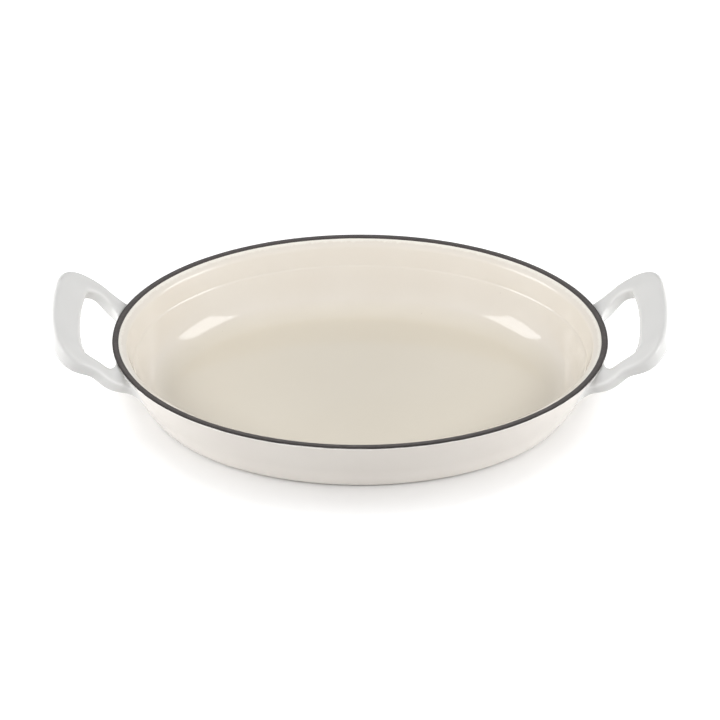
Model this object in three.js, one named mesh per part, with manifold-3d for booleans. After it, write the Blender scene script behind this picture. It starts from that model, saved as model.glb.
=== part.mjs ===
// Oval enamelled cast-iron baking dish with two loop handles.
// Millimetres, +Z up. The long axis of the oval is X and the dish rests on z = 0.
import * as THREE from 'three';
import { mergeVertices } from 'three/addons/utils/BufferGeometryUtils.js';
import Module from 'manifold-3d';

// Bowl: overall sizes
const rimLength = 320;
const rimWidth = 248;
const dishHeight = 46.5;
const floorThickness = 5; // with the coats on both faces
const baseInset = 24; // lower edge of the wall inside the rim edge, the same all round
const coatThickness = 0.5; // fired enamel

// Bowl: outer wall, a curve that leaves the rim and the base along these two runs
const upperRun = 6.5;
const upperDrop = 15.7;
const lowerRun = 8.2;
const lowerRise = 11.2;

// Bowl: rim and inner wall, each step measured inward and downward
const rimBandWidth = 4.1; // bare dark band on top of the rim
const rimBandThickness = 0.8;
const rimBandEdge = 0.9; // rounding on both edges of the band
const lipWidth = 5.2; // bevel inside the rim
const lipDepth = 3.5;
const upperWallRun = 4.2; // steep wall from the bevel to the ledge
const ledgeDepth = 15.5;
const ledgeWidth = 0.7;
const ledgeFall = 0.8;
const lowerWallRun = 21.5; // sweep from the ledge to the flat floor
const lowerWallSteepRun = 5.5; // first leg of that sweep, and its drop
const lowerWallSteepDrop = 12;
const floorSweepRun = 11; // level leg of that sweep, at the floor

// Bowl: foot under the base
const footLift = 1.3; // lower edge of the wall above the table
const footEdge = 2.4; // bevel from that edge in to the flat ring
const footWidth = 7; // flat ring that the dish stands on
const footRecess = 0.8; // hollow inside that ring

// Handles: side is off the middle, reach is beyond the rim's edge at that side and rise is above it,
// all to the centre line; width lies across the top face and thickness square to it.
const gripTilt = THREE.MathUtils.degToRad(34); // top face rises outward
const gripReach = 30.8;
const gripRise = 15.5;
const gripWidth = 21.2;
const gripThickness = 10;
const gripEndSide = 20.8;
const gripEndReach = 32;
const bendSide = 36; // where the grip starts to turn
const bendReach = 33.8;
const shoulderSide = 42.9;
const shoulderReach = 31.6;
const shoulderRise = 12.5;
const shoulderWidth = 18.4;
const legSide = 44.3;
const legReach = 21.4;
const legRise = 7;
const legWidth = 12.2;
const legThickness = 8;
const ankleSide = 41.5; // foot of the leg, just outside the wall
const ankleReach = 8;
const ankleRise = -3.7;
const ankleWidth = 15.3;
const ankleThickness = 8.2;
const rootSide = 27.4; // inside the wall
const rootReach = -16.8;
const rootRise = -12.5;
const rootWidth = 23;
const rootThickness = 9.8;
const sectionRoundness = 4.5; // exponent of the rounded section

// Clearances between pieces that are shaped to each other
const rootGap = 0.3; // handle root to the wall it stands on
const windowGap = 0.3; // handle iron to the window in the wall's coat

// Facets
const roundSteps = 56;
const wallSteps = 8;
const floorSweepSteps = 6;
const pathSteps = 30;
const sectionSteps = 12;
const cutterSteps = 8;

const halfLength = rimLength / 2;
const halfWidth = rimWidth / 2;
const bandBottom = dishHeight - rimBandThickness;

const point = (inset, z) => new THREE.Vector2(inset, z);
const reversed = (line) => [...line].reverse();

// Outer face of the wall: inset from the rim edge against height, rim to base.
const outerWall = new THREE.CubicBezierCurve(
  point(0, bandBottom),
  point(upperRun, bandBottom - upperDrop),
  point(baseInset - lowerRun, footLift + lowerRise),
  point(baseInset, footLift),
);

// Inner face: bevel, steep wall, small ledge, then a sweep into the floor.
function innerFace() {
  const lip = point(rimBandWidth + lipWidth, dishHeight - lipDepth);
  const ledgeTop = point(lip.x + upperWallRun, dishHeight - ledgeDepth);
  const ledgeEnd = point(ledgeTop.x + ledgeWidth, ledgeTop.y - ledgeFall);
  const floorEdge = point(ledgeTop.x + lowerWallRun, floorThickness);
  const sweep = new THREE.CubicBezierCurve(
    ledgeEnd,
    point(ledgeEnd.x + lowerWallSteepRun, ledgeEnd.y - lowerWallSteepDrop),
    point(floorEdge.x - floorSweepRun, floorThickness),
    floorEdge,
  );
  return [point(rimBandWidth, bandBottom), lip, ledgeTop, ...sweep.getPoints(floorSweepSteps)];
}

// The same line set back square to itself; a positive distance goes towards the middle of the dish.
function setBack(line, distance) {
  return line.map((here, i) => {
    const before = line[Math.max(i - 1, 0)];
    const after = line[Math.min(i + 1, line.length - 1)];
    const along = after.clone().sub(before).normalize();
    return point(here.x - along.y * distance, here.y + along.x * distance);
  });
}

// Moves an end point along its last stretch until it lies at height z.
function slideTo(end, neighbour, z) {
  const share = (z - end.y) / (end.y - neighbour.y);
  return point(end.x + share * (end.x - neighbour.x), z);
}

// Closed body swept round the oval from a section of (inset, height) points.
// The section runs from the underside out, up, over the rim and down the inside.
// An open section is closed with flat faces across the middle.
function ovalSolid(section, isRing) {
  const positions = [];
  const index = [];
  section.forEach((p) => {
    for (let j = 0; j < roundSteps; j += 1) {
      const angle = (2 * Math.PI * j) / roundSteps;
      positions.push((halfLength - p.x) * Math.cos(angle), (halfWidth - p.x) * Math.sin(angle), p.y);
    }
  });
  const rings = section.length;
  const bands = isRing ? rings : rings - 1;
  for (let i = 0; i < bands; i += 1) {
    const next = (i + 1) % rings;
    joinRings(index, i * roundSteps, next * roundSteps, roundSteps, section[next].y < section[i].y);
  }
  if (!isRing) {
    const middle = positions.length / 3;
    positions.push(0, 0, section[0].y, 0, 0, section[rings - 1].y);
    closeRing(index, 0, middle, roundSteps, true);
    closeRing(index, (rings - 1) * roundSteps, middle + 1, roundSteps, false);
  }
  return meshData(positions, index);
}

// Two triangles for each step between two rings of points. Where two bodies share a face, one
// runs along it backward, and so both are cut along the same diagonals.
function joinRings(index, first, second, count, backward) {
  for (let j = 0; j < count; j += 1) {
    const k = (j + 1) % count;
    index.push(first + j, first + k, second + (backward ? j : k));
    index.push(first + (backward ? k : j), second + k, second + j);
  }
}

// Fan from a ring to one point; start says which end of the body it closes.
function closeRing(index, first, middle, count, start) {
  for (let j = 0; j < count; j += 1) {
    const k = (j + 1) % count;
    index.push(middle, first + (start ? k : j), first + (start ? j : k));
  }
}

function meshData(positions, index) {
  const geometry = new THREE.BufferGeometry();
  geometry.setAttribute('position', new THREE.Float32BufferAttribute(positions, 3));
  geometry.setIndex(index);
  return geometry;
}

// Handle centre line, from the middle of the grip to the root, then whole from root to root.
const rimEdge = (side) => halfLength * Math.sqrt(1 - (side / halfWidth) ** 2);
const centre = (side, reach, rise) => new THREE.Vector3(rimEdge(side) + reach, side, dishHeight + rise);
const halfPath = [
  centre(0, gripReach, gripRise),
  centre(gripEndSide, gripEndReach, gripRise),
  centre(bendSide, bendReach, gripRise),
  centre(shoulderSide, shoulderReach, shoulderRise),
  centre(legSide, legReach, legRise),
  centre(ankleSide, ankleReach, ankleRise),
  centre(rootSide, rootReach, rootRise),
];
const otherSide = new THREE.Vector3(1, -1, 1);
const handlePath = new THREE.CatmullRomCurve3(
  [...reversed(halfPath).map((p) => p.clone().multiply(otherSide)), ...halfPath.slice(1)],
  false,
  'catmullrom',
);

// Width and thickness at the same stations, held as the first two coordinates of a curve.
const halfSize = [
  new THREE.Vector3(gripWidth, gripThickness, 0),
  new THREE.Vector3(gripWidth, gripThickness, 0),
  new THREE.Vector3(gripWidth, gripThickness, 0),
  new THREE.Vector3(shoulderWidth, gripThickness, 0),
  new THREE.Vector3(legWidth, legThickness, 0),
  new THREE.Vector3(ankleWidth, ankleThickness, 0),
  new THREE.Vector3(rootWidth, rootThickness, 0),
];
const handleSize = new THREE.CatmullRomCurve3(
  [...reversed(halfSize), ...halfSize.slice(1)],
  false,
  'catmullrom',
);
const faceNormal = new THREE.Vector3(-Math.sin(gripTilt), 0, Math.cos(gripTilt));

// Point of the rounded section at share t of the path; grow makes the section larger all round.
function handlePoint(t, angle, grow) {
  const along = handlePath.getTangent(t);
  const up = faceNormal.clone().addScaledVector(along, -faceNormal.dot(along)).normalize();
  const across = new THREE.Vector3().crossVectors(up, along);
  const size = handleSize.getPoint(t);
  const round = (value) => Math.sign(value) * Math.abs(value) ** (2 / sectionRoundness);
  return handlePath.getPoint(t)
    .addScaledVector(across, round(Math.cos(angle)) * (size.x / 2 + grow))
    .addScaledVector(up, round(Math.sin(angle)) * (size.y / 2 + grow));
}

// Inset of the wall's outer face at a height, found by halving.
function wallInset(z) {
  let high = 0;
  let low = 1;
  for (let i = 0; i < 40; i += 1) {
    const middle = (high + low) / 2;
    if (outerWall.getPoint(middle).y > z) {
      high = middle;
    } else {
      low = middle;
    }
  }
  return outerWall.getPoint(high).x;
}

function isOutsideWall(p, gap) {
  const inset = wallInset(p.z) - gap;
  return (p.x / (halfLength - inset)) ** 2 + (p.y / (halfWidth - inset)) ** 2 > 1;
}

// Share of the path where a line along the handle comes out of the wall.
function wallShare(place, inside, outside, gap) {
  let a = inside;
  let b = outside;
  for (let i = 0; i < 40; i += 1) {
    const middle = (a + b) / 2;
    if (isOutsideWall(place(middle), gap)) {
      b = middle;
    } else {
      a = middle;
    }
  }
  return b;
}

const legShare = 0.22; // a share of the path that is well clear of the wall
const rootShares = (place, gap) => [
  wallShare(place, 0, legShare, gap),
  wallShare(place, 1, 1 - legShare, gap),
];

// Rings of points along the handle; each line along it starts and ends on the wall's face.
function handleRings(grow, gap) {
  const lines = [];
  for (let j = 0; j < sectionSteps; j += 1) {
    const angle = (2 * Math.PI * j) / sectionSteps;
    const place = (t) => handlePoint(t, angle, grow);
    const [start, end] = rootShares(place, gap);
    const line = [];
    for (let i = 0; i <= pathSteps; i += 1) {
      line.push(place(THREE.MathUtils.lerp(start, end, i / pathSteps)));
    }
    lines.push(line);
  }
  const rings = [];
  for (let i = 0; i <= pathSteps; i += 1) {
    rings.push(lines.map((line) => line[i]));
  }
  return rings;
}

// Closed body through rings, with a fan to a middle point at each end.
function ringSolid(rings, startMiddle, endMiddle) {
  const positions = [];
  const index = [];
  rings.forEach((ring) => ring.forEach((p) => positions.push(p.x, p.y, p.z)));
  const count = rings[0].length;
  for (let i = 0; i < rings.length - 1; i += 1) {
    joinRings(index, i * count, (i + 1) * count, count, false);
  }
  const middle = rings.length * count;
  positions.push(startMiddle.x, startMiddle.y, startMiddle.z);
  positions.push(endMiddle.x, endMiddle.y, endMiddle.z);
  closeRing(index, 0, middle, count, true);
  closeRing(index, (rings.length - 1) * count, middle + 1, count, false);
  return meshData(positions, index);
}

// Closed skin between two sets of rings, open at the roots.
function skinSolid(outer, inner) {
  const positions = [];
  const index = [];
  const loop = [...outer, ...reversed(inner)];
  loop.forEach((ring) => ring.forEach((p) => positions.push(p.x, p.y, p.z)));
  const count = outer[0].length;
  for (let i = 0; i < loop.length; i += 1) {
    joinRings(index, i * count, ((i + 1) % loop.length) * count, count, i >= outer.length);
  }
  return meshData(positions, index);
}

const wasm = await Module();
wasm.setup();

function toSolid(geometry) {
  const merged = mergeVertices(geometry);
  return new wasm.Manifold(new wasm.Mesh({
    numProp: 3,
    vertProperties: new Float32Array(merged.attributes.position.array),
    triVerts: new Uint32Array(merged.index.array),
  }));
}

function fromSolid(solid) {
  const { vertProperties, triVerts } = solid.getMesh();
  return meshData(Array.from(vertProperties), Array.from(triVerts));
}

// Bowl sections, in (inset, height), shared by the iron and the coats that lie on it.
const outerLine = outerWall.getPoints(wallSteps);
const innerLine = innerFace();
const ironOuter = setBack(outerLine, coatThickness);
ironOuter[0] = slideTo(ironOuter[0], ironOuter[1], bandBottom);
ironOuter[wallSteps] = slideTo(ironOuter[wallSteps], ironOuter[wallSteps - 1], footLift + coatThickness);
const ironInner = setBack(innerLine, -coatThickness);
ironInner[0] = slideTo(ironInner[0], ironInner[1], bandBottom);
const footOuter = baseInset + footEdge;
const footInner = footOuter + footWidth;
const ironFoot = [
  point(footInner + footRecess, coatThickness + footRecess),
  point(footInner, coatThickness),
  point(footOuter, coatThickness),
];
const tableFoot = [
  point(footInner + footRecess, footRecess),
  point(footInner, 0),
  point(footOuter, 0),
];

const bowlIron = () => ovalSolid([...ironFoot, ...reversed(ironOuter), ...ironInner], false);
const interiorCoat = () => ovalSolid([...reversed(ironInner), ...innerLine], false);
const baseCoat = () => ovalSolid([
  ...tableFoot,
  outerLine[wallSteps],
  ironOuter[wallSteps],
  ...reversed(ironFoot),
], false);

const rimBand = () => ovalSolid([
  point(rimBandWidth, bandBottom),
  point(0, bandBottom),
  point(rimBandEdge / 3, dishHeight - rimBandThickness / 3),
  point(rimBandEdge, dishHeight),
  point(rimBandWidth - rimBandEdge, dishHeight),
  point(rimBandWidth - rimBandEdge / 3, dishHeight - rimBandThickness / 3),
], true);

// Handle iron: it passes through the coat of the wall and stops on the iron behind it.
const axisPlace = (t) => handlePath.getPoint(t);
const ironGap = rootGap - coatThickness;

function handleIron() {
  const main = handleRings(-coatThickness, rootGap);
  const roots = handleRings(-coatThickness, ironGap);
  const rings = [roots[0], ...main, roots[pathSteps]];
  const [start, end] = rootShares(axisPlace, ironGap);
  return ringSolid(rings, axisPlace(start), axisPlace(end));
}

const handleCoat = () => skinSolid(handleRings(0, rootGap), handleRings(-coatThickness, rootGap));

// Cutter for the window through the wall's coat at each root.
function rootCutter(from, to) {
  const rings = [];
  for (let i = 0; i <= cutterSteps; i += 1) {
    const t = THREE.MathUtils.lerp(from, to, i / cutterSteps);
    const ring = [];
    for (let j = 0; j < sectionSteps; j += 1) {
      ring.push(handlePoint(t, (2 * Math.PI * j) / sectionSteps, windowGap - coatThickness));
    }
    rings.push(ring);
  }
  return toSolid(ringSolid(rings, axisPlace(from), axisPlace(to)));
}

const halfTurn = new THREE.Matrix4().makeRotationZ(Math.PI);

function exteriorCoat() {
  let solid = toSolid(ovalSolid([...reversed(outerLine), ...ironOuter], true));
  for (const cutter of [rootCutter(0, legShare), rootCutter(1 - legShare, 1)]) {
    solid = solid.subtract(cutter).subtract(cutter.transform(halfTurn.elements));
  }
  return fromSolid(solid);
}

// Finishes
const castIron = new THREE.MeshStandardMaterial({ color: 0x3b3b3c, roughness: 0.7, metalness: 0.6 });
const whiteEnamel = new THREE.MeshStandardMaterial({ color: 0xe6e0d8, roughness: 0.2, metalness: 0 });
const sandEnamel = new THREE.MeshStandardMaterial({ color: 0xded6c6, roughness: 0.22, metalness: 0 });
const darkEnamel = new THREE.MeshStandardMaterial({ color: 0x4d4c4b, roughness: 0.6, metalness: 0 });

function piece(name, geometry, material) {
  const mesh = new THREE.Mesh(geometry, material);
  mesh.name = name;
  return mesh;
}

function handle(side) {
  const group = new THREE.Group();
  group.add(piece(`${side}_handle`, handleIron(), castIron));
  group.add(piece(`${side}_handle_enamel`, handleCoat(), whiteEnamel));
  group.rotation.z = side === 'left' ? Math.PI : 0;
  return group;
}

const dish = new THREE.Group();
dish.add(piece('iron_bowl', bowlIron(), castIron));
dish.add(piece('exterior_enamel', exteriorCoat(), whiteEnamel));
dish.add(piece('interior_enamel', interiorCoat(), sandEnamel));
dish.add(piece('base_enamel', baseCoat(), whiteEnamel));
dish.add(piece('rim_band', rimBand(), darkEnamel));
dish.add(handle('left'));
dish.add(handle('right'));

export default dish;
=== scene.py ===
# Oval enamelled cast-iron baking dish, dressed over its CAD frame. Metres, +X to the right handle.
import bpy
import numpy as np
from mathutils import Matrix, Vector


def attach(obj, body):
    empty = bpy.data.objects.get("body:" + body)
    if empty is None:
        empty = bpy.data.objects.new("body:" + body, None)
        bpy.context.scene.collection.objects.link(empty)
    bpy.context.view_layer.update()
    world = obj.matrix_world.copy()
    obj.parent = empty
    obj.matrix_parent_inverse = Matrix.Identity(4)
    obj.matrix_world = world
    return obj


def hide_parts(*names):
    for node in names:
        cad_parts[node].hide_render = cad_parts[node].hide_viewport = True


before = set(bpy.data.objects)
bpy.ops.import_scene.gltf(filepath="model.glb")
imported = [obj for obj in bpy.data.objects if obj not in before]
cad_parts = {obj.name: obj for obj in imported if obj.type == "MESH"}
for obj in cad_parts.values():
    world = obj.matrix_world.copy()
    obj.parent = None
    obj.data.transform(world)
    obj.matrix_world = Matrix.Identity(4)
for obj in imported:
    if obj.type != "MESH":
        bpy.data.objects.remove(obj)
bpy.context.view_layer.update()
scene = bpy.context.scene
scene.view_settings.view_transform = "Standard"
mm = 0.001

# Camera at the photograph's viewing angle, far off with a long lens
shot = dict(
    aim=(0.0, 0.0, 0.03028),
    elevation=33.97,  # degrees above the table
    distance=6.0,
    frameWidth=0.4655,  # metres across the picture at the aim point
    sensor=36.0,
    farClip=50.0,
)
lensData = bpy.data.cameras.new("camera")
lensData.sensor_width = shot["sensor"]
lensData.lens = shot["sensor"] * shot["distance"] / shot["frameWidth"]
lensData.clip_end = shot["farClip"]
camera = bpy.data.objects.new("camera", lensData)
scene.collection.objects.link(camera)
elevation = np.radians(shot["elevation"])
away = Vector((0.0, -np.cos(elevation), np.sin(elevation)))
camera.location = Vector(shot["aim"]) + away * shot["distance"]
camera.rotation_euler = away.to_track_quat("Z", "Y").to_euler()
scene.camera = camera
print("camera set, lens", round(lensData.lens, 1), "mm")


# Closed mesh from a grid of points (rows, columns, 3): quads between neighbours, columns wrap round.
# The rows wrap round too, or the first and last are capped with a fan to their middle.
def gridMesh(name, points, capped):
    rows, columns = points.shape[:2]
    corner = np.arange(rows * columns).reshape(rows, columns)
    above, below = (corner[:-1], corner[1:]) if capped else (corner, np.roll(corner, -1, axis=0))
    quads = np.stack([above, np.roll(above, -1, axis=1), np.roll(below, -1, axis=1), below], -1)
    quads = quads.reshape(-1, 4)
    vertices = points.reshape(-1, 3)
    fans = []
    if capped:
        first, last, middle = corner[0], corner[-1], len(vertices)
        vertices = np.vstack([vertices, points[0].mean(axis=0), points[-1].mean(axis=0)])
        fans.append(np.stack([np.roll(first, -1), first, np.full(columns, middle)], -1))
        fans.append(np.stack([last, np.roll(last, -1), np.full(columns, middle + 1)], -1))
    split = np.vstack([quads[:, [0, 1, 2]], quads[:, [0, 2, 3]]] + fans)
    a, b, c = (vertices[split[:, k]] for k in range(3))
    inward = np.einsum("ij,ij->i", a, np.cross(b, c)).sum() < 0  # sign of the enclosed volume
    blocks = [block[:, ::-1] if inward else block for block in [quads] + fans]
    mesh = bpy.data.meshes.new(name)
    mesh.from_pydata(vertices.tolist(), [], [face for block in blocks for face in block.tolist()])
    mesh.update()
    mesh.polygons.foreach_set("use_smooth", np.ones(len(mesh.polygons), bool))
    piece = bpy.data.objects.new(name, mesh)
    scene.collection.objects.link(piece)
    return piece


# Number stored on every point for a material to read; ends are for the middle points of the caps.
def storeValue(piece, name, values, ends=()):
    filled = np.concatenate([np.ravel(values), ends])
    layer = piece.data.attributes.new(name, "FLOAT", "POINT")
    layer.data.foreach_set("value", filled.astype(np.float32))


# The same for a value that is constant round each ring of the oval
def storeRings(piece, name, ringValues, ends=()):
    storeValue(piece, name, np.repeat(ringValues, bowl["around"]), ends)


# Material, body and the CAD node that a piece stands for; the slot name is not used
def dress(piece, material, slotName, *nodes):
    piece.data.materials.append(material)
    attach(piece, "root")
    if nodes:
        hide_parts(*nodes)
    print("made", piece.name, len(piece.data.vertices), "points")


# Bowl sizes in mm, the same as the CAD model's apart from a slightly thinner coat
bowl = dict(
    halfLength=160.0,
    halfWidth=124.0,
    height=46.5,
    bandBottom=45.7,
    coat=0.45,
    around=384,  # steps round the oval
)
theta = np.linspace(0, 2 * np.pi, bowl["around"], endpoint=False)


# Rings of the oval, one for each inset and height of a section in mm:
# (halfLength - inset) cos, (halfWidth - inset) sin, height.
def ovalRings(section):
    inset, height = section[:, :1], section[:, 1:]
    x = (bowl["halfLength"] - inset) * np.cos(theta)
    y = (bowl["halfWidth"] - inset) * np.sin(theta)
    return np.stack([x, y, np.broadcast_to(height, x.shape)], -1) * mm


# Flat disc inside a ring: the ring drawn in to its middle in even shares.
def ovalDisc(ring, steps):
    share = np.linspace(1, 0, steps + 1)[1:-1, None, None]
    middle = ring.mean(axis=0)
    return middle + (ring - middle) * share


# Coat that runs over a face line to its middle and back behind it: back disc, back, face, face disc.
def coatRings(faceLine, backLine, discSteps):
    faceRings, backRings = ovalRings(faceLine), ovalRings(backLine)
    backDisc, faceDisc = ovalDisc(backRings[-1], discSteps), ovalDisc(faceRings[-1], discSteps)
    return np.concatenate([backDisc[::-1], backRings[::-1], faceRings, faceDisc])


# Cubic Bezier curve of four control points at the shares s.
def bezier(corners, s):
    p0, p1, p2, p3 = np.asarray(corners, float)
    s = s[:, None]
    return (1 - s) ** 3 * p0 + 3 * s * (1 - s) ** 2 * p1 + 3 * s**2 * (1 - s) * p2 + s**3 * p3


# Line with rounded corners: each corner becomes a parabola that leaves and joins the legs at its reach.
def roundedLine(corners, reach, steps=7):
    corners = np.asarray(corners, float)
    pieces = [corners[:1]]
    s = np.linspace(0, 1, steps)[:, None]
    for before, here, after, leg in zip(corners, corners[1:], corners[2:], reach):
        start = here + (before - here) / np.linalg.norm(before - here) * leg
        end = here + (after - here) / np.linalg.norm(after - here) * leg
        pieces.append((1 - s) ** 2 * start + 2 * s * (1 - s) * here + s**2 * end)
    pieces.append(corners[-1:])
    return np.vstack(pieces)


# Line set back square to itself, towards its left where distance is positive.
def setBack(line, distance):
    along = np.gradient(line, axis=0)
    along /= np.linalg.norm(along, axis=1, keepdims=True)
    return line + distance * np.stack([-along[:, 1], along[:, 0]], -1)


# Materials

# Inputs of a node by name or place: a pair of node and output is linked, anything else is a value.
def feed(tree, node, inputs):
    for key, value in inputs.items():
        if isinstance(value, tuple) and hasattr(value[0], "outputs"):
            tree.links.new(value[0].outputs[value[1]], node.inputs[key])
        else:
            node.inputs[key].default_value = value


def addNode(tree, kind, inputs=None, **settings):
    made = tree.nodes.new(kind)
    for key, value in settings.items():
        setattr(made, key, value)
    feed(tree, made, inputs or {})
    return made


def newMaterial(name):
    material = bpy.data.materials.new(name)
    material.use_nodes = True
    tree = material.node_tree
    tree.nodes.clear()
    place = (addNode(tree, "ShaderNodeTexCoord"), "Object")
    return material, tree, place


def addSurface(tree, inputs):
    shader = addNode(tree, "ShaderNodeBsdfPrincipled", inputs)
    addNode(tree, "ShaderNodeOutputMaterial", {"Surface": (shader, 0)})


def noise(tree, place, scale, detail, roughness=0.5):
    inputs = {"Vector": place, "Scale": scale, "Detail": detail, "Roughness": roughness}
    return addNode(tree, "ShaderNodeTexNoise", inputs), 0


# Value eased between the two limits of a span, onto low to high
def spread(tree, value, span, low, high):
    inputs = {0: value, 1: span[0], 2: span[1], 3: low, 4: high}
    return addNode(tree, "ShaderNodeMapRange", inputs, interpolation_type="SMOOTHSTEP"), 0


def mixColour(tree, share, first, second):
    return addNode(tree, "ShaderNodeMix", {0: share, 6: first, 7: second}, data_type="RGBA"), 2


def maths(tree, operation, *values):
    return addNode(tree, "ShaderNodeMath", dict(enumerate(values)), operation=operation), 0


# Value that storeValue put on the mesh
def stored(tree, name):
    return addNode(tree, "ShaderNodeAttribute", attribute_name=name), "Fac"


def relief(tree, height, strength, depth):
    inputs = {"Height": height, "Strength": strength, "Distance": depth}
    return addNode(tree, "ShaderNodeBump", inputs), 0


# Gloss vitreous enamel: soft clouds of tone, sparse fired specks, a pale painted highlight along the rim
# band, a second tone from a stored share (painted light low on the outer wall, painted shade over the
# handles' bends, a deeper tone on the inner floor), and a long and a short ripple.
glaze = dict(
    cloudSpan=(0.32, 0.68),
    raritySpan=(0.52, 0.75),
    rarityScale=0.31,  # of the specks' own scale
    frayScale=420.0, frayShare=0.7,  # ragged edge of the painted highlight
    paintedHighlightSpan=(0.6, 1.1),
    smearScale=38.0, smearSpan=(0.3, 0.7),
    peelScale=310.0, peelDepth=0.3 * mm, rippleDepth=1.0 * mm,
)


def enamel(name, tones):
    material, tree, place = newMaterial(name)
    clouds = noise(tree, place, tones["cloudScale"], detail=4.0)
    cloudShare = spread(tree, clouds, glaze["cloudSpan"], 0.0, 1.0)
    colour = mixColour(tree, cloudShare, tones["light"], tones["dark"])
    cellInputs = {"Vector": place, "Scale": tones["speckScale"]}
    cells = addNode(tree, "ShaderNodeTexVoronoi", cellInputs, feature="F1")
    rarity = noise(tree, place, tones["speckScale"] * glaze["rarityScale"], detail=1.0)
    speckSize = spread(tree, rarity, glaze["raritySpan"], 0.0, tones["speckSize"])
    specks = maths(tree, "LESS_THAN", (cells, "Distance"), speckSize)
    speckShare = maths(tree, "MULTIPLY", specks, tones["speckShare"])
    colour = mixColour(tree, speckShare, colour, tones["speck"])
    fray = noise(tree, place, glaze["frayScale"], detail=3.0)
    frayed = maths(tree, "MULTIPLY_ADD", fray, glaze["frayShare"], stored(tree, "paintedRimHighlight"))
    paintedHighlightShare = spread(tree, frayed, glaze["paintedHighlightSpan"], 0.0, tones["paintedHighlightShare"])
    colour = mixColour(tree, paintedHighlightShare, colour, tones["paintedRimHighlight"])
    colour = mixColour(tree, stored(tree, "paintedLightAndTone"), colour, tones["paintedLightAndTone"])
    smear = noise(tree, place, glaze["smearScale"], detail=5.0, roughness=0.6)
    gloss = spread(tree, smear, glaze["smearSpan"], tones["roughLow"], tones["roughHigh"])
    ripple = noise(tree, place, tones["rippleScale"], detail=2.0)
    rippled = relief(tree, ripple, tones["ripple"], glaze["rippleDepth"])
    peel = noise(tree, place, glaze["peelScale"], detail=2.0)
    peeled = relief(tree, peel, tones["peel"], glaze["peelDepth"])
    feed(tree, peeled[0], {"Normal": rippled})
    addSurface(tree, {
        "Base Color": colour, "Roughness": gloss, "Normal": peeled,
        "IOR": tones["ior"], "Coat Weight": tones["coat"], "Coat Roughness": tones["coatRough"],
    })
    return material


whiteTones = dict(
    light=(0.76, 0.722, 0.67, 1), dark=(0.742, 0.699, 0.648, 1), cloudScale=16.0,
    speck=(0.45, 0.41, 0.36, 1), speckScale=190.0, speckSize=0.06, speckShare=0.35,
    # Pale painted highlight just below the rim band
    paintedRimHighlight=(0.95, 0.92, 0.88, 1), paintedHighlightShare=0.8,
    paintedLightAndTone=(0.86, 0.815, 0.76, 1),  # painted light: paler towards the lower edge of the wall
    roughLow=0.11, roughHigh=0.17, rippleScale=26.0, ripple=0.1, peel=0.08,
    ior=1.5, coat=0.3, coatRough=0.06,
)
# Handle enamel: a greyer, darker copy of the white enamel on the wall it is cast with; the darker tone is
# partly painted shade
gripTones = dict(
    whiteTones, light=(0.7, 0.698, 0.686, 1), dark=(0.682, 0.679, 0.667, 1),
    paintedLightAndTone=(0.585, 0.582, 0.572, 1),  # painted shade: greyer on the outer side of the bends
)
sandTones = dict(
    light=(0.77, 0.722, 0.652, 1), dark=(0.751, 0.698, 0.621, 1), cloudScale=13.0,
    speck=(0.36, 0.30, 0.22, 1), speckScale=170.0, speckSize=0.07, speckShare=0.4,
    # Pale painted highlight just inside the rim band
    paintedRimHighlight=(0.9, 0.87, 0.8, 1), paintedHighlightShare=0.7,
    paintedLightAndTone=(0.736, 0.673, 0.543, 1),  # deeper and darker towards the floor
    roughLow=0.07, roughHigh=0.11, rippleScale=22.0, ripple=0.08, peel=0.08,
    ior=1.56, coat=0.3, coatRough=0.05,
)
whiteEnamel = enamel("white_enamel_gloss", whiteTones)
gripEnamel = enamel("handle_enamel_gloss", gripTones)
sandEnamel = enamel("sand_enamel_gloss", sandTones)


# Rough grained finish: two tones of grain, larger marks of a third tone, roughness and relief that
# follow the grain. With markOn the marks keep to where that stored value is high.
def roughGrain(name, tones):
    material, tree, place = newMaterial(name)
    grain = noise(tree, place, tones["grainScale"], tones["grainDetail"], tones["grainRough"])
    grainShare = spread(tree, grain, tones["grainSpan"], 0.0, 1.0)
    colour = mixColour(tree, grainShare, tones["dark"], tones["light"])
    marks = noise(tree, place, tones["markScale"], tones["markDetail"], tones["markRough"])
    if tones["markOn"]:
        marks = maths(tree, "MULTIPLY", stored(tree, tones["markOn"]), marks)
    markShare = spread(tree, marks, tones["markSpan"], 0.0, tones["markShare"])
    colour = mixColour(tree, markShare, colour, tones["mark"])
    rough = spread(tree, grain, tones["grainSpan"], tones["roughLow"], tones["roughHigh"])
    grained = relief(tree, grain, tones["relief"], tones["depth"])
    addSurface(tree, {
        "Base Color": colour, "Roughness": rough, "Normal": grained, "Metallic": tones["metal"],
    })
    return material


# Matt ground coat of the rim band, with paler marks on its crown: partly scuffing, partly a painted
# highlight
rimTones = dict(
    dark=(0.0295, 0.0255, 0.0245, 1), light=(0.059, 0.05, 0.048, 1),
    grainScale=900.0, grainDetail=4.0, grainRough=0.65, grainSpan=(0.3, 0.7),
    mark=(0.125, 0.112, 0.107, 1), markOn="crown", markShare=0.5,
    markScale=130.0, markDetail=5.0, markRough=0.7, markSpan=(0.3, 0.65),
    roughLow=0.45, roughHigh=0.65, relief=0.45, depth=0.3 * mm, metal=0.0,
)
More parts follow.
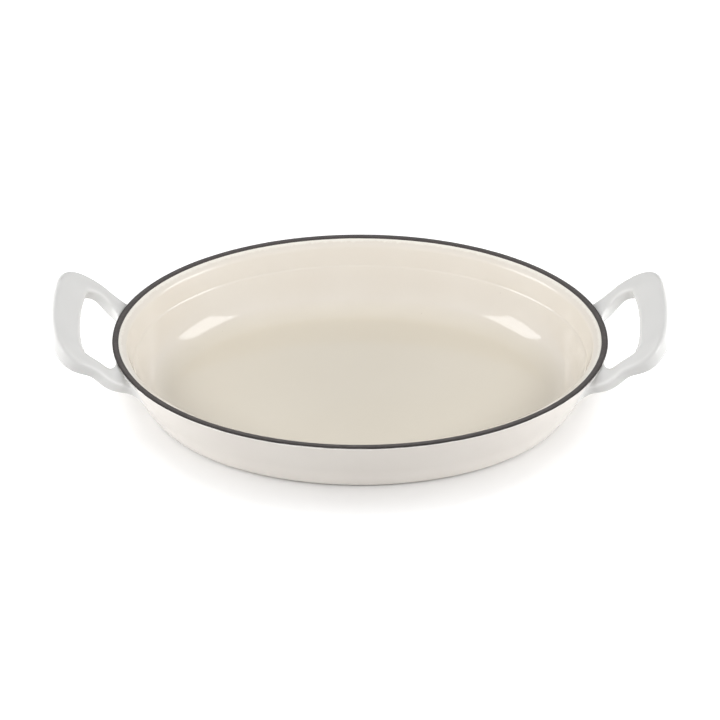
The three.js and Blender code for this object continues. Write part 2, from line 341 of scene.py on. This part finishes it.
# Bare casting under the coats, stained rust-brown in places
ironTones = dict(
    dark=(0.035, 0.035, 0.036, 1), light=(0.075, 0.074, 0.072, 1),
    grainScale=650.0, grainDetail=6.0, grainRough=0.7, grainSpan=(0.3, 0.7),
    mark=(0.09, 0.06, 0.042, 1), markOn=None, markShare=0.5,
    markScale=45.0, markDetail=4.0, markRough=0.5, markSpan=(0.55, 0.75),
    roughLow=0.55, roughHigh=0.8, relief=0.6, depth=0.6 * mm, metal=0.6,
)
rimCoat = roughGrain("rim_ground_coat", rimTones)
ironCast = roughGrain("cast_iron_raw", ironTones)
for ironNode in ("iron_bowl", "left_handle", "right_handle"):
    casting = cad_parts[ironNode].data
    casting.materials.clear()
    casting.materials.append(ironCast)
print("materials ready")


# Outer coat of the wall: one Bezier curve from rim to base, closed behind by the same line set back.
outside = dict(
    curve=((0.0, 45.7), (6.5, 30.0), (15.8, 12.5), (24.0, 1.3)),  # inset and height, mm
    steps=64,
    top=(0.35, 45.95),  # where the coat runs in under the rim band
    backTop=(1.0, 45.95),
    paintedHighlightReach=2.6,  # mm below the band that the painted highlight reaches
    shiftTop=20.0,  # mm above the table where the painted light starts, growing paler towards the lower edge
)
wallLine = bezier(outside["curve"], np.linspace(0, 1, outside["steps"]))
wallBack = setBack(wallLine, bowl["coat"])
wallBack[0] = outside["backTop"]
wallSection = np.vstack([[outside["top"]], wallLine, wallBack[::-1]])
outsideGlaze = gridMesh("outside_glaze", ovalRings(wallSection), capped=False)
belowBand = bowl["bandBottom"] - wallSection[:, 1]
# Painted highlight: a pale line just below the rim band
storeRings(outsideGlaze, "paintedRimHighlight", np.clip(1 - belowBand / outside["paintedHighlightReach"], 0, 1))
# Painted light: paler towards the lower edge of the wall
storeRings(outsideGlaze, "paintedLightAndTone", np.clip(1 - wallSection[:, 1] / outside["shiftTop"], 0, 1))
dress(outsideGlaze, whiteEnamel, "white_enamel", "exterior_enamel")


# Inner coat: bevelled lip, steep wall, small ledge and a Bezier sweep into the floor, each corner rounded.
inside = dict(
    lip=((3.7, 45.95), (4.1, 45.7), (9.3, 43.0), (13.5, 31.0), (14.2, 30.2)),
    sweep=((14.2, 30.2), (19.7, 18.2), (24.0, 5.0), (41.0, 5.0)),
    reach=(0.3, 1.6, 0.5, 0.5),
    ledgeShare=0.06,  # share of the sweep that the last rounded corner reaches into
    sweepSteps=48,
    discSteps=14,
    backTop=(3.3, 45.75),
    paintedHighlightReach=1.0,
    shiftTop=12.0,  # mm above the table where the tone starts to deepen towards the floor
    shiftShare=0.6,
)
sweepLine = bezier(inside["sweep"], np.linspace(inside["ledgeShare"], 1, inside["sweepSteps"]))
lipLine = roundedLine(np.vstack([inside["lip"], sweepLine[:1]]), inside["reach"])
faceLine = np.vstack([lipLine, sweepLine[1:]])
faceBack = setBack(faceLine, -bowl["coat"])
faceBack[0] = inside["backTop"]
insideRings = coatRings(faceLine, faceBack, inside["discSteps"])
insideGlaze = gridMesh("inside_glaze", insideRings, capped=True)
insideHeight = insideRings[:, 0, 2] / mm
belowBand = bowl["bandBottom"] - insideHeight
# Painted highlight: a pale line just inside the rim band
storeRings(insideGlaze, "paintedRimHighlight", np.clip(1 - belowBand / inside["paintedHighlightReach"], 0, 1), (0, 0))
floorHeight = inside["sweep"][-1][1]
towardsFloor = (inside["shiftTop"] - insideHeight) / (inside["shiftTop"] - floorHeight)
floorShift = np.clip(towardsFloor, 0, 1) * inside["shiftShare"]
# Deeper and darker in tone from shiftTop down to the floor
storeRings(insideGlaze, "paintedLightAndTone", floorShift, (inside["shiftShare"],) * 2)
dress(insideGlaze, sandEnamel, "sand_enamel", "interior_enamel")


# Rim band: flat crown with rounded edges, its width and place wandering a little round the oval.
band = dict(
    section=((4.1, 45.62), (0.0, 45.62), (0.08, 46.18), (0.9, 46.5), (3.2, 46.5), (4.02, 46.18)),
    reach=(0.12, 0.5, 0.7, 0.7, 0.5, 0.12),
    halfWidth=2.05,
    crownFrom=46.0,  # mm above the table
    crownRise=0.5,
    wander=0.07,  # mm
    slowWaves=((5, 0.7, 1.0), (13, 2.1, 0.8), (31, 4.0, 0.6)),  # waves round the oval, start, share
    fineWaves=((57, 1.3, 1.0), (83, 0.2, 1.0)),
    slowShare=0.35,
    fineShare=0.12,
)


# Sum of sine waves round the oval
def waveSum(waves):
    return sum(share * np.sin(count * theta + start) for count, start, share in waves)


bandCorners = np.asarray(band["section"])
bandLoop = np.vstack([bandCorners[-1:], bandCorners, bandCorners[:1]])
bandLine = roundedLine(bandLoop, band["reach"])[1:-1]
bandRings = ovalRings(bandLine)
offMiddle = np.clip((bandLine[:, 0] - band["halfWidth"]) / band["halfWidth"], -1, 1)
outwards = np.stack([np.cos(theta) / bowl["halfLength"], np.sin(theta) / bowl["halfWidth"]], -1)
outwards /= np.linalg.norm(outwards, axis=1, keepdims=True)
widening = band["slowShare"] * waveSum(band["slowWaves"]) * offMiddle[:, None]
drift = band["wander"] * mm * (widening + band["fineShare"] * waveSum(band["fineWaves"]))
bandRings[..., :2] -= drift[..., None] * outwards[None]
rimBand = gridMesh("rim_band_coat", bandRings, capped=False)
crownHeight = np.clip((bandLine[:, 1] - band["crownFrom"]) / band["crownRise"], 0, 1)
# Where the paler crown marks show: partly scuffing, partly a painted highlight
storeRings(rimBand, "crown", crownHeight * np.sqrt(1 - np.abs(offMiddle)))
dress(rimBand, rimCoat, "rim_coat", "rim_band")


# Underside: rounded edge, flat foot ring and a shallow hollow inside it.
underside = dict(
    line=((23.75, 1.6), (24.15, 1.15), (26.4, 0.0), (33.4, 0.0), (34.3, 0.8), (37.0, 0.8)),
    reach=(0.3, 0.6, 0.5, 0.5),
    discSteps=14,
)
footLine = roundedLine(underside["line"], underside["reach"])
footRings = coatRings(footLine, setBack(footLine, bowl["coat"]), underside["discSteps"])
undersideGlaze = gridMesh("underside_glaze", footRings, capped=True)
dress(undersideGlaze, whiteEnamel, "white_enamel", "base_enamel")


# Handles: stations from the middle of the grip to the root as side, reach beyond the rim, rise above
# the rim, width across the top face and thickness, in mm.
handle = dict(
    stations=(
        (0.0, 30.8, 15.5, 21.2, 10.0),
        (20.8, 32.0, 15.5, 21.2, 10.0),
        (36.0, 33.8, 15.5, 21.2, 10.0),
        (42.9, 31.6, 12.5, 18.4, 10.0),
        (44.3, 21.4, 7.0, 12.2, 8.0),
        (41.5, 8.0, -3.7, 15.3, 8.2),
        (27.4, -16.8, -12.5, 23.0, 9.8),
    ),
    tilt=34.0,  # degrees that the top face rises outward
    roundness=4.5,  # exponent of the rounded section
    along=260,
    around=96,
    legShare=0.2,  # share of the path that is well clear of the wall
    halvings=40,
    filletInner=13.5,  # mm of fillet at the wall on the side of the opening
    filletOuter=10.0,
    filletBelow=4.5,
    filletLeast=0.8,
    filletTop=44.9,  # the fillet stays below the rim band
    filletRoom=0.8,  # share of the room up to there that it may take
    filletSteps=16,
    sinkOn=0.02,  # the last ring runs on by this share and is drawn in, to close inside the wall
    sinkIn=0.996,
    bendShare=0.25,  # from the middle of the path to the middle of a bend
    bendReach=0.12,
    outerFrom=0.5,  # from here to outerFrom + outerSpan across the section the outer side begins
    outerSpan=0.4,
)
halfLoop = np.asarray(handle["stations"])
sideways = halfLoop[:, 0]
rimEdge = bowl["halfLength"] * np.sqrt(1 - (sideways / bowl["halfWidth"]) ** 2)
halfPath = np.column_stack(
    [rimEdge + halfLoop[:, 1], sideways, bowl["height"] + halfLoop[:, 2], halfLoop[:, 3:]]
)
mirror = np.array([1, -1, 1, 1, 1])
stations = np.vstack([halfPath[:0:-1] * mirror, halfPath])
sectionAngle = np.linspace(0, 2 * np.pi, handle["around"], endpoint=False)
tilt = np.radians(handle["tilt"])
faceNormal = np.array([-np.sin(tilt), 0, np.cos(tilt)])


# Catmull-Rom curve through the stations, with its slope, at any shares from 0 to 1.
def throughStations(share):
    last = len(stations) - 1
    padded = np.vstack([2 * stations[0] - stations[1], stations, 2 * stations[-1] - stations[-2]])
    place = np.clip(share, 0, 1) * last
    i = np.minimum(place.astype(int), last - 1)
    f = (place - i)[..., None]
    p0, p1, p2, p3 = padded[i], padded[i + 1], padded[i + 2], padded[i + 3]
    bend = 2 * p0 - 5 * p1 + 4 * p2 - p3
    twist = -p0 + 3 * p1 - 3 * p2 + p3
    value = 0.5 * (2 * p1 + (p2 - p0) * f + bend * f**2 + twist * f**3)
    slope = 0.5 * ((p2 - p0) + 2 * bend * f + 3 * twist * f**2)
    return value, slope


# Point of the handle: the centre line plus a superellipse section that keeps the top face tilted.
# wider and taller add to the half width and half thickness.
def handlePoint(share, angle, wider=0.0, taller=0.0):
    value, slope = throughStations(share)
    along = slope[..., :3] / np.linalg.norm(slope[..., :3], axis=-1, keepdims=True)
    up = faceNormal - along * (along @ faceNormal)[..., None]
    up /= np.linalg.norm(up, axis=-1, keepdims=True)
    across = np.cross(up, along)
    power = 2 / handle["roundness"]
    flat = np.sign(np.cos(angle)) * np.abs(np.cos(angle)) ** power * (value[..., 3] / 2 + wider)
    tall = np.sign(np.sin(angle)) * np.abs(np.sin(angle)) ** power * (value[..., 4] / 2 + taller)
    return value[..., :3] + across * flat[..., None] + up * tall[..., None]


# How far a point is outside the wall's outer face, as a share of the oval at its height.
def outsideBy(p):
    inset = np.interp(p[..., 2], wallLine[::-1, 1], wallLine[::-1, 0])
    return np.hypot(p[..., 0] / (bowl["halfLength"] - inset), p[..., 1] / (bowl["halfWidth"] - inset)) - 1


# Share of the path where each line along the handle leaves the wall, found by halving.
def wallShare(inner, outer, wider=0.0, taller=0.0):
    a = np.full(handle["around"], inner)
    b = np.full(handle["around"], outer)
    for _ in range(handle["halvings"]):
        middle = (a + b) / 2
        isOut = outsideBy(handlePoint(middle, sectionAngle, wider, taller)) > 0
        a, b = np.where(isOut, a, middle), np.where(isOut, middle, b)
    return b


# Fillet at one root: a parabola from the handle's side to the wall, with its corner where they meet.
def rootFillet(inner, outer):
    meet = wallShare(inner, outer)
    corner = handlePoint(meet, sectionAngle)
    towards = (1 + np.cos(sectionAngle)) / 2  # 1 on the side of the opening
    wider = handle["filletOuter"] + (handle["filletInner"] - handle["filletOuter"]) * towards
    room = (handle["filletTop"] - corner[:, 2]) * handle["filletRoom"]
    taller = np.clip(room, handle["filletLeast"], handle["filletBelow"])
    wallEnd = handlePoint(wallShare(inner, outer, wider, taller), sectionAngle, wider, taller)
    wallEnd[:, 2] = np.minimum(wallEnd[:, 2], handle["filletTop"])
    wallEnd[:, :2] /= 1 + outsideBy(wallEnd)[:, None]  # back onto the wall where it was held down
    size = np.hypot(wider * np.cos(sectionAngle), taller * np.sin(sectionAngle))
    stretch = np.linalg.norm(throughStations(meet)[1][:, :3], axis=1) * (len(stations) - 1)
    start = meet + np.sign(outer - inner) * size / stretch
    rise = handlePoint(start, sectionAngle)
    s = np.linspace(0, 1, handle["filletSteps"] + 1)[1:, None, None]
    strip = (1 - s) ** 2 * rise + 2 * s * (1 - s) * corner + s**2 * wallEnd
    sunk = wallEnd + (wallEnd - rise) * handle["sinkOn"]
    sunk[:, :2] *= handle["sinkIn"]
    return start, np.concatenate([strip, sunk[None]])


firstShare, firstStrip = rootFillet(0.0, handle["legShare"])
lastShare, lastStrip = rootFillet(1.0, 1 - handle["legShare"])
shares = np.linspace(0, 1, handle["along"] + 1)[:, None]
bodyShare = firstShare + (lastShare - firstShare) * shares
bodyRings = handlePoint(bodyShare, np.broadcast_to(sectionAngle, bodyShare.shape))
handleRings = np.concatenate([firstStrip[::-1], bodyRings, lastStrip]) * mm
# Painted shade: greyer on the outer side of each bend
fromBend = np.abs(np.abs(bodyShare - 0.5) - handle["bendShare"])
overBend = np.clip(1 - fromBend / handle["bendReach"], 0, 1)
outerSide = np.clip((-np.cos(sectionAngle) - handle["outerFrom"]) / handle["outerSpan"], 0, 1)
paintedBendShade = np.zeros(handleRings.shape[:2])
paintedBendShade[len(firstStrip):-len(lastStrip)] = np.sqrt(overBend) * outerSide
halfTurn = np.array([-1, -1, 1])
for side, rings in (("right", handleRings), ("left", handleRings * halfTurn)):
    loop = gridMesh(side + "_handle_glaze", rings, capped=True)
    storeValue(loop, "paintedLightAndTone", paintedBendShade, (0, 0))
    dress(loop, gripEnamel, "white_enamel", side + "_handle_enamel")


# Floor: pale and matt. Where the camera or a reflection looks at it, it is lifted to white in steps
# outward from an oval round the base, so the shadow and the dark line under the base show.
studio = dict(
    floorSize=3.0,
    floorDrop=0.1 * mm,
    floorTone=0.79,
    baseOval=(0.147, 0.134, 1.0),
    lifts=(((0.83, 1.07), 0.14), ((0.95, 1.25), 0.36), ((2.5, 6.0), 0.5)),  # span in ovals, added light
    ambient=0.12,
)


# One where the camera, a reflection or a view through glass looks at the surface, zero for other light.
def seenDirectly(tree):
    path = addNode(tree, "ShaderNodeLightPath")
    seen = maths(tree, "MAXIMUM", (path, "Is Camera Ray"), (path, "Is Glossy Ray"))
    return maths(tree, "MAXIMUM", seen, (path, "Is Transmission Ray"))


floorReach, floorDepth = studio["floorSize"] / 2, -studio["floorDrop"]
floorMesh = bpy.data.meshes.new("floor")
floorMesh.from_pydata(
    [(x * floorReach, y * floorReach, floorDepth) for x, y in ((-1, -1), (1, -1), (1, 1), (-1, 1))],
    [], [(0, 1, 2, 3)],
)
floor = bpy.data.objects.new("floor", floorMesh)
scene.collection.objects.link(floor)
floorPaint, floorTree, floorPlace = newMaterial("floor_paper")
matt = addNode(floorTree, "ShaderNodeBsdfDiffuse", {"Color": (studio["floorTone"],) * 3 + (1,)})
inOvals = addNode(
    floorTree, "ShaderNodeVectorMath", {0: floorPlace, 1: studio["baseOval"]}, operation="DIVIDE"
)
fromBase = addNode(floorTree, "ShaderNodeVectorMath", {0: (inOvals, 0)}, operation="LENGTH")
near, far, horizon = (
    spread(floorTree, (fromBase, "Value"), span, 0.0, added) for span, added in studio["lifts"]
)
lift = maths(floorTree, "ADD", maths(floorTree, "ADD", near, far), horizon)
lifted = maths(floorTree, "MULTIPLY", seenDirectly(floorTree), lift)
glow = addNode(floorTree, "ShaderNodeEmission", {"Strength": lifted})
both = addNode(floorTree, "ShaderNodeAddShader", {0: (matt, 0), 1: (glow, 0)})
addNode(floorTree, "ShaderNodeOutputMaterial", {"Surface": (both, 0)})
floorMesh.materials.append(floorPaint)

# World: even fill light, plain white where the camera or a reflection looks past the floor.
world = bpy.data.worlds.new("studio")
scene.world = world
world.use_nodes = True
worldTree = world.node_tree
worldTree.nodes.clear()
level = addNode(
    worldTree, "ShaderNodeMapRange", {0: seenDirectly(worldTree), 3: studio["ambient"], 4: 1.0}
)
sky = addNode(worldTree, "ShaderNodeBackground", {"Color": (1, 1, 1, 1), "Strength": (level, 0)})
addNode(worldTree, "ShaderNodeOutputWorld", {"Surface": (sky, 0)})

# Softboxes that face the dish. A pair has a second one on the left; only a mirrored one is reflected.
lamps = dict(
    keySide=dict(place=(0.955, -0.11, 0.76), size=(0.6, 0.58), power=3.5, pair=True, mirrored=True),
    lowSide=dict(place=(1.1, 0.1, 0.19), size=(1.0, 0.3), power=6.5, pair=True),
    frontSide=dict(place=(0.8, -0.8, 0.9), size=(0.8, 0.5), power=6.9, pair=True),
    top=dict(place=(0.0, 0.2, 1.7), size=(1.2, 1.2), power=1.7),
    front=dict(place=(0.0, -1.6, 0.2), size=(1.4, 0.32), power=1.3, tint=(1, 0.95, 0.94)),
)


def softbox(name, place, box):
    lamp = bpy.data.lights.new(name, "AREA")
    lamp.shape = "RECTANGLE"
    lamp.size, lamp.size_y = box["size"]
    lamp.energy = box["power"]
    lamp.color = box.get("tint", (1, 1, 1))
    stand = bpy.data.objects.new(name, lamp)
    scene.collection.objects.link(stand)
    stand.location = place
    stand.rotation_euler = Vector(place).to_track_quat("Z", "Y").to_euler()
    stand.visible_camera = False
    stand.visible_glossy = box.get("mirrored", False)


for name, box in lamps.items():
    softbox(name, box["place"], box)
    if box.get("pair"):
        softbox(name + "Left", (-box["place"][0],) + box["place"][1:], box)
print("stage and lights set")
